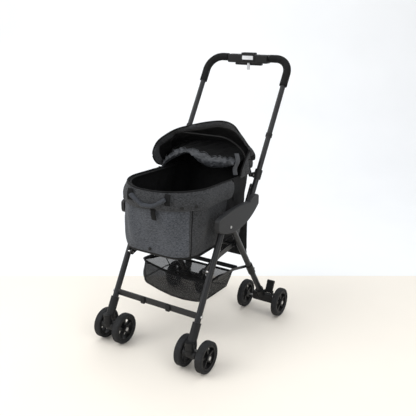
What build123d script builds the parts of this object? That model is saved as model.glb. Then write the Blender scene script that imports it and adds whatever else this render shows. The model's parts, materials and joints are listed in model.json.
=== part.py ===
from build123d import *
from math import atan2, degrees
import os

# Pet stroller with a folding twin-link frame, a fabric cabin, a hood and a mesh basket.
# Millimetres. +X is the pet parent's right-hand side seen from the front, +Y points to the handle,
# +Z is up. Design heights are above the ground; design Y is counted from midway between the axles.

# Driving dimensions
HALF_TRACK = 181.0                      # X of every leg and handle tube
HALF_WHEELBASE = 249.0
WHEEL_R = 57.0
TUBE_R = 11.0
HANDLE_R = 10.0
WALL = 1.5
BAR_Z = 997.5                           # centre of the handle's top bar
GRIP_R = 15.0
PIN_R = 4.0
RUN = 0.05                              # radial clearance of a pin in its bore
GAP = 0.3                               # space between faces that slide past each other

RIM_Z = 618.0                           # top of the cabin
FLOOR_Z = 372.0                         # underside of the cabin
RIM_HALF = 158.0
FLOOR_HALF = 148.0
CABIN_FRONT = -262.0
FLOOR_FRONT = -236.0
CABIN_REAR = 176.0

# Side lines of the frame, each as Y at a given height
HANDLE_SLOPE = 0.62
FRONT_SLOPE = 0.57
REAR_SLOPE = -0.686


def handle_y(z):
    return 133 + HANDLE_SLOPE * (z - 524)


def front_leg_y(z):
    return -251 + FRONT_SLOPE * (z - 150)


def rear_leg_y(z):
    return 104 + REAR_SLOPE * (z - 277)


def on_line(line_y, z):
    """Point (Y, Z) on one of the side lines."""
    return (line_y(z), z)


# Pivots, as (Y, Z)
HANDLE_PIVOT = on_line(handle_y, 505)
FRONT_PIVOT = on_line(front_leg_y, 470)
REAR_PIVOT = on_line(rear_leg_y, 455)
LOW_PIVOT = on_line(handle_y, 362)
LINK_FRONT = (LOW_PIVOT[0] + FRONT_PIVOT[0] - HANDLE_PIVOT[0],
              LOW_PIVOT[1] + FRONT_PIVOT[1] - HANDLE_PIVOT[1])
HOOD_PIVOT = (152.0, 600.0)

# Flat pieces beside the tubes, as (low X, high X)
LINK_X = (157.0, 164.0)
BAR_X = (165.2, 169.2)
PLATE_X = (192.4, 194.6)
COVER_X = (195.0, 211.0)

SWIVEL_Y = -286.0
TRAIL_AXLE_Y = -HALF_WHEELBASE
FRONT_TWIN = 42.5                       # from the caster's middle to each front wheel
REAR_TWIN = 77.0
FRONT_TYRE_W = 27.0
REAR_TYRE_W = 24.0

# The origin is under the middle of the whole stroller, on the ground
GRIP_REAR = handle_y(BAR_Z) + GRIP_R
BOX_MIDDLE_Y = (GRIP_REAR - HALF_WHEELBASE - WHEEL_R) / 2

os.makedirs("parts", exist_ok=True)


def save(node, shape):
    export_step(Pos(0, -BOX_MIDDLE_Y, 0) * shape, "parts/" + node + ".step")


def rod(start, end, radius):
    """Round bar between two points."""
    run = Vector(*end) - Vector(*start)
    base = Plane(origin=start, z_dir=run.normalized())
    return base * Cylinder(radius, run.length, align=(Align.CENTER, Align.CENTER, Align.MIN))


def pipe(start, end, radius, wall=WALL):
    """Round tube between two points."""
    return rod(start, end, radius) - rod(start, end, radius - wall)


def cross_rod(x_low, x_high, pivot, radius):
    """Round bar along X through a side-view point."""
    return rod((x_low, *pivot), (x_high, *pivot), radius)


def block(x_range, y_range, z_range):
    """Rectangular solid between three pairs of limits."""
    size = [high - low for low, high in (x_range, y_range, z_range)]
    middle = [(high + low) / 2 for low, high in (x_range, y_range, z_range)]
    return Pos(*middle) * Box(*size)


def flat_link(points, half_width, x_range):
    """Flat bar with round ends that follows side-view points."""
    side = Plane(origin=(x_range[0], 0, 0), x_dir=(0, 1, 0), z_dir=(1, 0, 0))
    pieces = []
    for first, second in zip(points, points[1:]):
        run = Vector(*second) - Vector(*first)
        middle = (Vector(*second) + Vector(*first)) / 2
        pieces.append(Pos(middle.X, middle.Y) * Rot(0, 0, degrees(atan2(run.Y, run.X)))
                      * SlotCenterToCenter(run.length, 2 * half_width))
    outline = pieces[0]
    for piece in pieces[1:]:
        outline += piece
    return extrude(side * outline, x_range[1] - x_range[0], dir=(1, 0, 0))


def left(shape):
    """The same piece on the -X side."""
    return mirror(shape, about=Plane.YZ)


def both(*right_shapes):
    """The given pieces and their mirror images, as separate solids of one node."""
    return Compound(children=[*right_shapes, *[left(shape) for shape in right_shapes]])


def save_pair(node, right_shape):
    save(node + "_right", right_shape)
    save(node + "_left", left(right_shape))


# Wheels -------------------------------------------------------------------------------------------

RIM_R = 44.0
HUB_R = 13.0
AXLE_R = 4.0
SPOKES = 5


def tyre(width):
    section = Pos((RIM_R + WHEEL_R) / 2, 0) * RectangleRounded(WHEEL_R - RIM_R, width, 5.5)
    return Rot(0, 90, 0) * revolve(Plane.XZ * section, Axis.Z)


def wheel_hub(width):
    """Rim, spokes and a bored boss, turning about X."""
    rim = Cylinder(RIM_R, width - 5) - Cylinder(RIM_R - 6, width - 5)
    boss = Cylinder(HUB_R, width)
    spoke = Pos(RIM_R / 2, 0, 0) * Box(RIM_R - 8, 8, width - 12)
    hub = rim + boss
    for index in range(SPOKES):
        hub += Rot(0, 0, 360 / SPOKES * (index + 0.5)) * spoke
    hub -= Cylinder(AXLE_R + RUN, 2 * width)
    return Rot(0, 90, 0) * hub


def save_wheel(name, x, y, width):
    place = Pos(x, y, WHEEL_R)
    save(name + "_tyre", place * tyre(width))
    save(name + "_hub", place * wheel_hub(width))


def axle(x_middle, y, half_length):
    """Axle with a flat cap on each end to keep the wheels on."""
    cap = 2.0
    shape = cross_rod(x_middle - half_length, x_middle + half_length, (y, WHEEL_R), AXLE_R)
    for side in (-1, 1):
        inner = x_middle + side * half_length
        shape += cross_rod(min(inner, inner + side * cap), max(inner, inner + side * cap),
                           (y, WHEEL_R), 7)
    return shape


# Front legs and casters ---------------------------------------------------------------------------

SLEEVE_TOP = 172.0
SLEEVE_FOOT = 92.0
SLEEVE_R = 15.5
STEM_R = 5.0
STEM_TOP = 112.0
LEG_FOOT = 128.0


def front_leg():
    tube = pipe((HALF_TRACK, *on_line(front_leg_y, LEG_FOOT)),
                (HALF_TRACK, *on_line(front_leg_y, 482)), TUBE_R)
    tube -= cross_rod(HALF_TRACK - 20, HALF_TRACK + 20, FRONT_PIVOT, PIN_R + RUN)
    return tube - link_pin()


def link_pin():
    """Fixed pin that the front end of the lower link hangs on."""
    return cross_rod(LINK_X[0] - 2, HALF_TRACK - 4, LINK_FRONT, PIN_R)


def leg_sleeve():
    """Plastic sleeve round the leg's foot, turning down into the swivel socket."""
    foot_y = SWIVEL_Y
    slanted = rod((HALF_TRACK, front_leg_y(LEG_FOOT - 20), LEG_FOOT - 20),
                  (HALF_TRACK, *on_line(front_leg_y, SLEEVE_TOP)), SLEEVE_R)
    socket = rod((HALF_TRACK, foot_y, SLEEVE_FOOT), (HALF_TRACK, foot_y, 122), SLEEVE_R)
    sleeve = slanted + socket
    sleeve -= rod((HALF_TRACK, *on_line(front_leg_y, LEG_FOOT)),
                  (HALF_TRACK, *on_line(front_leg_y, SLEEVE_TOP + 20)), TUBE_R)
    return sleeve - rod((HALF_TRACK, foot_y, 80), (HALF_TRACK, foot_y, STEM_TOP + 1), STEM_R + RUN)


def caster_body(side):
    """Swivel body between the two front wheels: cap under the sleeve, arm and axle boss."""
    x = side * HALF_TRACK
    half_width = FRONT_TWIN - FRONT_TYRE_W / 2 - 4
    top = SLEEVE_FOOT - GAP
    cap = rod((x, SWIVEL_Y, top - 14), (x, SWIVEL_Y, top), 17)
    arm = flat_link([(SWIVEL_Y + 4, top - 18), (TRAIL_AXLE_Y, WHEEL_R)], 14,
                    (x - half_width, x + half_width))
    boss = cross_rod(x - FRONT_TWIN + FRONT_TYRE_W / 2 + GAP, x + FRONT_TWIN - FRONT_TYRE_W / 2 - GAP,
                     (TRAIL_AXLE_Y, WHEEL_R), 11)
    body = cap + arm + boss
    body -= rod((x, SWIVEL_Y, top - 30), (x, SWIVEL_Y, top + 5), STEM_R)
    return body - cross_rod(x - 60, x + 60, (TRAIL_AXLE_Y, WHEEL_R), AXLE_R)


def swivel_stem(side):
    x = side * HALF_TRACK
    return rod((x, SWIVEL_Y, SLEEVE_FOOT - 24), (x, SWIVEL_Y, STEM_TOP), STEM_R)


CROSS_BAR_Z = 190.0
CROSS_BAR_HEIGHT = 23.0


def cross_bar():
    """Flat bar between the front legs, notched round both tubes."""
    y = front_leg_y(CROSS_BAR_Z)
    bar = block((-HALF_TRACK, HALF_TRACK), (y - 4, y + 4),
                (CROSS_BAR_Z - CROSS_BAR_HEIGHT / 2, CROSS_BAR_Z + CROSS_BAR_HEIGHT / 2))
    bar = fillet(bar.edges().filter_by(Axis.X), 2.5)
    for side in (-1, 1):
        bar -= rod((side * HALF_TRACK, *on_line(front_leg_y, CROSS_BAR_Z - 40)),
                   (side * HALF_TRACK, *on_line(front_leg_y, CROSS_BAR_Z + 40)), TUBE_R)
    return bar


def cross_bar_clips():
    """Two small clips on the bar's front face."""
    y = front_leg_y(CROSS_BAR_Z) - 4
    clips = []
    for x in (-55, 55):
        clip = block((x - 9, x + 9), (y - 5, y), (CROSS_BAR_Z - 13, CROSS_BAR_Z + 13))
        clips.append(fillet(clip.edges().filter_by(Axis.Y), 3))
    return Compound(children=clips)


def cross_bar_rivet():
    """Rivet head on the outer side of the leg, where the bar is fixed."""
    face = HALF_TRACK + TUBE_R
    return cross_rod(face, face + 3, on_line(front_leg_y, CROSS_BAR_Z), 6)


# Rear legs ----------------------------------------------------------------------------------------

HOUSING_X = (145.0, 229.0)
RAIL_X = (165.0, 169.0)
CROSS_TUBE = (55.0, 260.0)
CROSS_TUBE_R = 8.0
RAIL_TIP = (-78.0, 270.0)
RAIL_REAR = (146.0, 234.0)
PEDAL_PIVOT = (262.0, 82.0)
PEDAL_X = (188.0, 218.0)
BOLT_Z = 75.0
BOLT_R = 3.0


def rear_leg():
    tube = pipe((HALF_TRACK, *on_line(rear_leg_y, 74)),
                (HALF_TRACK, *on_line(rear_leg_y, 466)), TUBE_R)
    return tube - cross_rod(HALF_TRACK - 20, HALF_TRACK + 20, REAR_PIVOT, PIN_R + RUN)


def rear_housing():
    """Plastic block at the foot of the rear leg that carries the axle, pedal and brake bolt."""
    y = HALF_WHEELBASE
    body = block(HOUSING_X, (y - 15, y + 15), (WHEEL_R - 11, 82))
    body = fillet(body.edges().filter_by(Axis.X), 6)
    socket = rod((HALF_TRACK, rear_leg_y(72), 72), (HALF_TRACK, rear_leg_y(108), 108), 15)
    body += socket
    body -= rod((HALF_TRACK, rear_leg_y(74), 74), (HALF_TRACK, rear_leg_y(130), 130), TUBE_R)
    ear_x = [(PEDAL_X[0] - 4 - GAP, PEDAL_X[0] - GAP), (PEDAL_X[1] + GAP, PEDAL_X[1] + 4 + GAP)]
    for x_range in ear_x:
        body += block(x_range, (y + 6, PEDAL_PIVOT[0] + 6), (70, PEDAL_PIVOT[1] + 6))
    pedal_room = block((PEDAL_X[0] - GAP, PEDAL_X[1] + GAP), (y + 3, y + 40), (73, 120))
    body -= pedal_room
    body -= cross_rod(PEDAL_X[0] - 10, PEDAL_X[1] + 10, PEDAL_PIVOT, 3)
    body -= cross_rod(HOUSING_X[1] - 25, HOUSING_X[1] + 5, (y - 6, BOLT_Z), BOLT_R + RUN)
    return body - cross_rod(HOUSING_X[0] - 5, HOUSING_X[1] + 5, (y, WHEEL_R), AXLE_R)


def brake_pedal():
    """Foot pedal that stands up behind the axle when the brake is off."""
    tip = (PEDAL_PIVOT[0] + 18, PEDAL_PIVOT[1] + 36)
    pedal = flat_link([PEDAL_PIVOT, tip], 4.5, PEDAL_X)
    pad = flat_link([tip, (tip[0] + 1, tip[1] + 2)], 6.5, PEDAL_X)
    return pedal + pad - cross_rod(PEDAL_X[0] - 5, PEDAL_X[1] + 5, PEDAL_PIVOT, 3 + RUN)


def pedal_pin():
    return cross_rod(PEDAL_X[0] - 4, PEDAL_X[1] + 4, PEDAL_PIVOT, 3)


def brake_bolt():
    """Bolt that the pedal pushes out between the spokes of the outer rear wheel."""
    return cross_rod(HOUSING_X[1] - 20, HOUSING_X[1] + 14, (HALF_WHEELBASE - 6, BOLT_Z), BOLT_R)


def leg_bracket():
    """Clamp on the rear leg that carries the basket rail."""
    low, high = 208, 250
    sleeve = rod((HALF_TRACK, *on_line(rear_leg_y, low)), (HALF_TRACK, *on_line(rear_leg_y, high)), 14)
    sleeve += block((RAIL_X[1], HALF_TRACK), (RAIL_REAR[0] - 16, RAIL_REAR[0] + 4),
                    (RAIL_REAR[1] - 9, RAIL_REAR[1] + 9))
    sleeve += cross_rod(HALF_TRACK - 6, HALF_TRACK + 6, (rear_leg_y(222) + 18, 222), 3.5)
    sleeve -= block((RAIL_X[0] - 5, RAIL_X[1]), (100, 200), (low - 20, high + 20))
    sleeve -= rod((HALF_TRACK, *on_line(rear_leg_y, low - 30)),
                  (HALF_TRACK, *on_line(rear_leg_y, high + 30)), TUBE_R)
    return sleeve


def basket_rail():
    """Flat rail from the bracket forward to the hook that the basket hangs on."""
    return flat_link([RAIL_REAR, (34, 262), RAIL_TIP], 5, RAIL_X)


def rear_cross_tube():
    return pipe((-RAIL_X[0], *CROSS_TUBE), (RAIL_X[0], *CROSS_TUBE), CROSS_TUBE_R)


# Side covers --------------------------------------------------------------------------------------

def cover_form(inset, x_range):
    """Long rounded body of the hinge cover, drawn in (Y, Z) and extruded along X."""
    front_top = (-150 + inset, 516 - inset)
    front_low = (-150 + inset, 476 + inset)
    waist = (66, 524 - inset)
    rear_high = (137 - inset, 533 - inset)
    rear_low = (137 - inset, 500 + inset)
    outline = make_face([ThreePointArc(front_top, (-40, 529 - inset), waist),
                         ThreePointArc(waist, (100, 541 - inset), rear_high),
                         Line(rear_high, rear_low),
                         ThreePointArc(rear_low, (-5, 442 + inset), front_low),
                         Line(front_low, front_top)])
    ends = outline.vertices().sort_by(Axis.X)
    outline = fillet(ends[:2], 14)
    outline = fillet(outline.vertices().sort_by(Axis.X)[-2:], 8)
    side = Plane(origin=(x_range[0], 0, 0), x_dir=(0, 1, 0), z_dir=(1, 0, 0))
    return extrude(side * outline, x_range[1] - x_range[0], dir=(1, 0, 0))


def side_cover():
    shell = cover_form(0, COVER_X)
    shell = chamfer(shell.faces().sort_by(Axis.X)[-1].edges(), 3)
    return shell - cover_form(3, (COVER_X[0] - 1, COVER_X[1] - 3.5))


def hinge_plate():
    plate = cover_form(5, PLATE_X)
    for pivot in (HANDLE_PIVOT, FRONT_PIVOT, REAR_PIVOT):
        plate -= cross_rod(PLATE_X[0] - 1, PLATE_X[1] + 1, pivot, PIN_R)
    return plate


def cover_posts():
    """Three bosses that tie each cover to its hinge plate."""
    return [cross_rod(PLATE_X[1], COVER_X[1] - 3.5, (y, 496), 4) for y in (-112, 25, 88)]


def hinge_pins():
    """Pins of the three side pivots on both sides, one headed solid each."""
    pins = []
    for pivot in (HANDLE_PIVOT, FRONT_PIVOT, REAR_PIVOT):
        pin = cross_rod(HALF_TRACK - 7, PLATE_X[1] + 1, pivot, PIN_R)
        pins.append(pin + cross_rod(PLATE_X[1], PLATE_X[1] + 3, pivot, PIN_R + 1))
    return pins


def pin_cap():
    """Light round cap on the cover over the front pivot."""
    return cross_rod(COVER_X[1], COVER_X[1] + 1.5, FRONT_PIVOT, 5)


# Handle -------------------------------------------------------------------------------------------

CORNER_R = 60.0
TUBE_FOOT_Z = 484.0
GRIP_INNER_X = 95.0
GRIP_FOOT_Z = 903.0
BAR_Y = handle_y(BAR_Z)


def handle_path():
    foot = (HALF_TRACK, *on_line(handle_y, TUBE_FOOT_Z))
    corner = (HALF_TRACK, BAR_Y, BAR_Z)
    return FilletPolyline(foot, corner, (-corner[0], *corner[1:]), (-foot[0], *foot[1:]),
                          radius=CORNER_R)


def handle_tube():
    path = handle_path()
    section = Circle(HANDLE_R) - Circle(HANDLE_R - WALL)
    tube = sweep(Plane(origin=path @ 0, z_dir=path % 0) * section, path)
    return tube - cross_rod(-HALF_TRACK - 20, HALF_TRACK + 20, HANDLE_PIVOT, PIN_R + RUN)


def grip():
    """Foam sleeve round the handle's bend."""
    path = FilletPolyline((GRIP_INNER_X, BAR_Y, BAR_Z), (HALF_TRACK, BAR_Y, BAR_Z),
                          (HALF_TRACK, *on_line(handle_y, GRIP_FOOT_Z)), radius=CORNER_R)
    section = Circle(GRIP_R) - Circle(HANDLE_R + RUN)
    return sweep(Plane(origin=path @ 0, z_dir=path % 0) * section, path)


BOX_HALF = 88.0
BOX_Y = (BAR_Y - 19, BAR_Y + 15)
BOX_LOW_Z = 978.0
BOX_HIGH_Z = 1011.0
LEVER_HALF = 58.0
LEVER_TRAVEL = 6.0
TONGUE_X = (1.0, 9.0)
TONGUE_Y = (BAR_Y - 16, BAR_Y - 12)
TONGUE_TRAVEL = 10.0


def handle_box_lower():
    shell = block((-BOX_HALF, BOX_HALF), BOX_Y, (BOX_LOW_Z, BAR_Z))
    shell = fillet(shell.faces().sort_by(Axis.Z)[0].edges(), 5)
    lever_room = block((-LEVER_HALF - GAP, LEVER_HALF + GAP), (BAR_Y - 11, BAR_Y + 9),
                       (BOX_LOW_Z - 5, BAR_Z - HANDLE_R - 2))
    shell -= lever_room
    shell -= block((TONGUE_X[0] - 1, TONGUE_X[1] + TONGUE_TRAVEL + 1), (TONGUE_Y[0] - 1, BAR_Y - 10),
                   (BOX_LOW_Z - 5, BAR_Z - HANDLE_R - 2))
    return shell - rod((-BOX_HALF - 1, BAR_Y, BAR_Z), (BOX_HALF + 1, BAR_Y, BAR_Z), HANDLE_R + RUN)


def handle_box_upper():
    shell = block((-BOX_HALF, BOX_HALF), BOX_Y, (BAR_Z, BOX_HIGH_Z))
    shell = fillet(shell.faces().sort_by(Axis.Z)[-1].edges(), 5)
    raised = block((-28, 28), (BAR_Y - 15, BAR_Y + 12), (BAR_Z + HANDLE_R + 1, 1018))
    raised = fillet(raised.faces().sort_by(Axis.Z)[-1].edges(), 3)
    shell += raised
    return shell - rod((-BOX_HALF - 1, BAR_Y, BAR_Z), (BOX_HALF + 1, BAR_Y, BAR_Z), HANDLE_R + RUN)


def fold_lever():
    """Bar under the box that both hands squeeze upwards to unlock the fold."""
    bar = block((-LEVER_HALF, LEVER_HALF), (BAR_Y - 9, BAR_Y + 7),
                (BOX_LOW_Z - 9, BAR_Z - HANDLE_R - 2 - LEVER_TRAVEL - GAP))
    return fillet(bar.faces().sort_by(Axis.Z)[0].edges(), 3)


def safety_tongue():
    """Small slide that has to be pushed aside before the lever moves."""
    stem = block(TONGUE_X, TONGUE_Y, (BOX_LOW_Z - 4, BAR_Z - HANDLE_R - 4))
    pad = block((TONGUE_X[0] - 1, TONGUE_X[1] + 1), (TONGUE_Y[0] - 1, TONGUE_Y[1] + 1),
                (BOX_LOW_Z - 26, BOX_LOW_Z - 2))
    return stem + fillet(pad.edges().filter_by(Axis.Y), 2)


def tube_collar():
    return pipe((HALF_TRACK, *on_line(handle_y, 724)), (HALF_TRACK, *on_line(handle_y, 736)),
                12.5, 12.5 - HANDLE_R - RUN)


def pivot_bar():
    """Flat bar that carries the handle tube's load on to the lower pivot."""
    top = on_line(handle_y, 556)
    bar = flat_link([LOW_PIVOT, top], 9, BAR_X)
    return bar - cross_rod(BAR_X[0] - 1, BAR_X[1] + 1, LOW_PIVOT, 6)


def bar_rivets():
    """Spacer rivets between each flat bar and its handle tube."""
    rivets = []
    for z in (492, 548):
        rivet = cross_rod(BAR_X[1], HALF_TRACK - 4, on_line(handle_y, z), 5)
        rivet -= rod((HALF_TRACK, *on_line(handle_y, z - 30)),
                     (HALF_TRACK, *on_line(handle_y, z + 30)), HANDLE_R)
        rivets.append(rivet)
    return rivets


def seat_tube():
    """Tube under the cabin on the lower pivot; the lower links turn on its ends."""
    return pipe((-BAR_X[1], *LOW_PIVOT), (BAR_X[1], *LOW_PIVOT), 6)


def lower_link():
    """Link from the lower pivot forward to the front leg, bowed upwards a little."""
    bow = ((LOW_PIVOT[0] + LINK_FRONT[0]) / 2, (LOW_PIVOT[1] + LINK_FRONT[1]) / 2 + 9)
    link = flat_link([LOW_PIVOT, bow, LINK_FRONT], 10, LINK_X)
    link -= cross_rod(LINK_X[0] - 1, LINK_X[1] + 1, LOW_PIVOT, 6 + RUN)
    open_pivot_r = PIN_R + 1
    return link - cross_rod(LINK_X[0] - 1, LINK_X[1] + 1, LINK_FRONT, open_pivot_r)


def hood_clamp():
    """Block on the handle tube with an arm forward to the hood pivot."""
    collar = rod((HALF_TRACK, *on_line(handle_y, 582)), (HALF_TRACK, *on_line(handle_y, 612)), 14.5)
    arm = flat_link([(HOOD_PIVOT[0], HOOD_PIVOT[1]), (handle_y(598) - 4, 598)], 9, (171, 178))
    clamp = collar + arm
    clamp -= rod((HALF_TRACK, *on_line(handle_y, 560)), (HALF_TRACK, *on_line(handle_y, 640)),
                 HANDLE_R + RUN)
    clamp -= block((HALF_TRACK - 20, 170.6), (100, 220), (560, 640))
    return clamp - cross_rod(160, 190, HOOD_PIVOT, PIN_R)


def hood_pin():
    return cross_rod(160.5, 178, HOOD_PIVOT, PIN_R)


# Cabin, hood, pocket and basket -------------------------------------------------------------------

def tub_outline(half_width, y_range, front_r, rear_r, z):
    """Rounded plan outline, with its own radius at the front and the rear."""
    outline = Pos(0, (y_range[0] + y_range[1]) / 2, z) * Rectangle(2 * half_width,
                                                                 y_range[1] - y_range[0])
    outline = fillet(outline.vertices().group_by(Axis.Y)[0], front_r)
    return fillet(outline.vertices().group_by(Axis.Y)[-1], rear_r)


def cabin_solid(inset, low_z, high_z):
    """Outer or inner form of the cabin between two heights."""
    bottom = tub_outline(FLOOR_HALF - inset, (FLOOR_FRONT + inset, 130 - inset),
                         85 - inset, 45 - inset, low_z)
    top = tub_outline(RIM_HALF - inset, (CABIN_FRONT + inset, CABIN_REAR - inset),
                      150 - inset, 45 - inset, high_z)
    return loft([bottom, top])


def cabin_shell():
    wall = 4
    return cabin_solid(0, FLOOR_Z, RIM_Z) - cabin_solid(wall, FLOOR_Z + wall, RIM_Z + 0.5)


def floor_board():
    board = tub_outline(FLOOR_HALF - 8, (FLOOR_FRONT + 8, 122), 77, 37, FLOOR_Z + 4.2)
    return extrude(board, 5, dir=(0, 0, 1))


SKIRT_REAR = 38.0


def cabin_skirt():
    """Bulging band of cloth round the outside of the rim."""
    low, middle, high = RIM_Z - 64, RIM_Z - 34, RIM_Z

    def ring(outset, z):
        return tub_outline(RIM_HALF + outset, (CABIN_FRONT - outset, SKIRT_REAR), 150 + outset, 5, z)

    form = loft([ring(3.5, low), ring(7.5, middle)]) + loft([ring(7.5, middle), ring(3.5, high)])
    return form - cabin_solid(-0.4, FLOOR_Z, high + 1)


GRAB_R = 8.0


def grab_handle():
    """Padded grab handle on the front of the skirt, bowed outwards."""
    half = 56
    front = CABIN_FRONT - 9
    path = ThreePointArc((-half, front - 8, 592), (0, front - 22, 574), (half, front - 8, 592))
    grip_body = sweep(Plane(origin=path @ 0, z_dir=path % 0) * Circle(GRAB_R), path)
    return grip_body


def rear_pocket():
    pocket = block((-148, 148), (148, 172), (268, 446))
    return fillet(pocket.edges().filter_by(Axis.Y), 20)


HOOD_HALF = 170.0


def hood_form(inset):
    """Solid under the hood's shape: arched sections from the open front edge to the rear."""
    foot_z = 626 - inset / 2
    sections = []
    for y, top_z in ((42 - inset / 2, 788), (70, 782), (120, 762), (174 - inset, 696)):
        height = top_z - inset - foot_z
        arch = Pos(0, foot_z + height / 2) * Rectangle(2 * (HOOD_HALF - inset), height)
        arch = fillet(arch.vertices().group_by(Axis.Y)[-1], min(75, top_z - foot_z - 8) - inset)
        sections.append(Plane.XZ.offset(-y) * arch)
    return loft(sections)


def hood_shell():
    return hood_form(0) - hood_form(3)


def hood_bow():
    """Bow that carries the hood's front edge, pivoted on both hood pins."""
    ear_x = (161.5, 165.5)
    foot = (ear_x[0] + 2, HOOD_PIVOT[0] - 8, HOOD_PIVOT[1] + 15)
    top = (ear_x[0] + 2, 66, 748)
    path = FilletPolyline(foot, top, (-top[0], *top[1:]), (-foot[0], *foot[1:]), radius=85)
    bow = sweep(Plane(origin=path @ 0, z_dir=path % 0) * Circle(2.6), path)
    for side in (-1, 1):
        ear = flat_link([HOOD_PIVOT, (foot[1] - 3, foot[2] + 5)], 9, ear_x)
        bow += ear if side > 0 else left(ear)
    return bow - cross_rod(-190, 190, HOOD_PIVOT, PIN_R + RUN)


BASKET_TOP = 266.0
BASKET_LOW = 200.0


def basket():
    def form(inset, low, high):
        bottom = tub_outline(140 - inset, (-118 + inset, 34 - inset), 40 - inset, 30 - inset, low)
        top = tub_outline(158 - inset, (-136 + inset, 45 - inset), 40 - inset, 30 - inset, high)
        return loft([bottom, top])

    wall = 2.5
    return form(0, BASKET_LOW, BASKET_TOP) - form(wall, BASKET_LOW + wall, BASKET_TOP + 0.5)


# Write every node ---------------------------------------------------------------------------------

for side_name, side in (("right", 1), ("left", -1)):
    for place_name, reach in (("outer", 1), ("inner", -1)):
        save_wheel(f"front_{side_name}_{place_name}", side * (HALF_TRACK + reach * FRONT_TWIN),
                   TRAIL_AXLE_Y, FRONT_TYRE_W)
        save_wheel(f"rear_{side_name}_{place_name}", side * (HALF_TRACK + reach * REAR_TWIN),
                   HALF_WHEELBASE, REAR_TYRE_W)
    save(f"front_axle_{side_name}", axle(side * HALF_TRACK, TRAIL_AXLE_Y,
                                         FRONT_TWIN + FRONT_TYRE_W / 2 + GAP))
    save(f"caster_body_{side_name}", caster_body(side) + swivel_stem(side))

save("front_legs", both(front_leg()))
save("leg_sleeves", both(leg_sleeve()))
save("front_cross_bar", cross_bar())
save("cross_bar_clips", cross_bar_clips())
save("front_leg_pins", both(link_pin(), cross_bar_rivet()))

save("rear_legs", both(rear_leg()))
save("rear_housings", both(rear_housing()))
save("rear_axles", both(axle(HALF_TRACK, HALF_WHEELBASE, REAR_TWIN + REAR_TYRE_W / 2 + GAP)))
save("leg_brackets", both(leg_bracket()))
save("basket_rails", both(basket_rail()))
save("rear_cross_tube", rear_cross_tube())
save("pedal_pins", both(pedal_pin()))
save_pair("brake_pedal", brake_pedal())
save_pair("brake_bolt", brake_bolt())

save_pair("side_cover", side_cover())
save("hinge_plates", both(hinge_plate()))
save("hinge_pins", both(*hinge_pins(), *cover_posts()))
save("pin_caps", both(pin_cap()))

save("handle_tube", handle_tube())
save("grips", both(grip()))
save("handle_box_lower", handle_box_lower())
save("handle_box_upper", handle_box_upper())
save("fold_lever", fold_lever())
save("safety_tongue", safety_tongue())
save("pivot_bars", both(pivot_bar()))
save("frame_rivets", both(*bar_rivets(), hood_pin()))
save("seat_tube", seat_tube())
save("lower_links", both(lower_link()))
save("tube_clamps", both(hood_clamp(), tube_collar()))

save("cabin_shell", cabin_shell())
save("floor_board", floor_board())
save("cabin_skirt", cabin_skirt())
save("grab_handle", grab_handle())
save("rear_pocket", rear_pocket())
save("hood_shell", hood_shell())
save("hood_bow", hood_bow())
save("basket", basket())
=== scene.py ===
import json
from math import cos, pi, radians, sin
import bmesh
import bpy
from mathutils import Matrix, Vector, noise


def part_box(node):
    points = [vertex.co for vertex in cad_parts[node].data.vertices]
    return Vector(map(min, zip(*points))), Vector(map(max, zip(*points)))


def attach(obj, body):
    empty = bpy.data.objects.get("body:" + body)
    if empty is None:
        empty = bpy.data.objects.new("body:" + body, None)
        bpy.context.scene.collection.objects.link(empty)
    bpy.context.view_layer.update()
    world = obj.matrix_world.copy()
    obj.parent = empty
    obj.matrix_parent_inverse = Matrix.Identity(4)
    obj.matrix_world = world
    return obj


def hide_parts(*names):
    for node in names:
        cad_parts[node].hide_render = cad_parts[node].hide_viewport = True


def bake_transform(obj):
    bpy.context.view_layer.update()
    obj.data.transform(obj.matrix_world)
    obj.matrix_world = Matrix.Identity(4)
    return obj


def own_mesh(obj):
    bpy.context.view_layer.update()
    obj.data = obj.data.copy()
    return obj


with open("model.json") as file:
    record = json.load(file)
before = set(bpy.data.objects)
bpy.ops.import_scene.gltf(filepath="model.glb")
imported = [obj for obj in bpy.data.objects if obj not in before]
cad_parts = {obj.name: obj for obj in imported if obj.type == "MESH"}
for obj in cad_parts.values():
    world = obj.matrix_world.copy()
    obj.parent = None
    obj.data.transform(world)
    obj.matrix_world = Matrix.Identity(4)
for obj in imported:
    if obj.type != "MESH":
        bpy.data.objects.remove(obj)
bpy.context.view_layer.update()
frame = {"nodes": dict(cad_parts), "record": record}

# Metres, in the frame of the CAD model: +X right, +Y towards the handle, +Z up.


def low(node):
    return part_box(node)[0]


def high(node):
    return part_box(node)[1]


def middle(node):
    return (Vector(low(node)) + Vector(high(node))) / 2


AXLES_MIDDLE = (middle("front_right_outer_hub").y + middle("rear_right_outer_hub").y) / 2


def at(x, y, z):
    """A point whose Y is counted from midway between the axles."""
    return Vector((x, y + AXLES_MIDDLE, z))


# Camera -------------------------------------------------------------------------------------------

CAMERA_AZIMUTH = radians(32.289)
CAMERA_ELEVATION = radians(18.507)
CAMERA_DISTANCE = 2.2147
CAMERA_TARGET = at(0.0303, 0.0691, 0.4681)
LENS_MM = 50.64


def make_camera():
    camera = bpy.data.objects.new("camera", bpy.data.cameras.new("camera"))
    bpy.context.collection.objects.link(camera)
    camera.data.lens = LENS_MM
    away = Vector((sin(CAMERA_AZIMUTH) * cos(CAMERA_ELEVATION),
                   -cos(CAMERA_AZIMUTH) * cos(CAMERA_ELEVATION), sin(CAMERA_ELEVATION)))
    camera.location = CAMERA_TARGET + CAMERA_DISTANCE * away
    camera.rotation_euler = (-away).to_track_quat("-Z", "Y").to_euler()
    bpy.context.scene.camera = camera


# Materials ----------------------------------------------------------------------------------------

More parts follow.
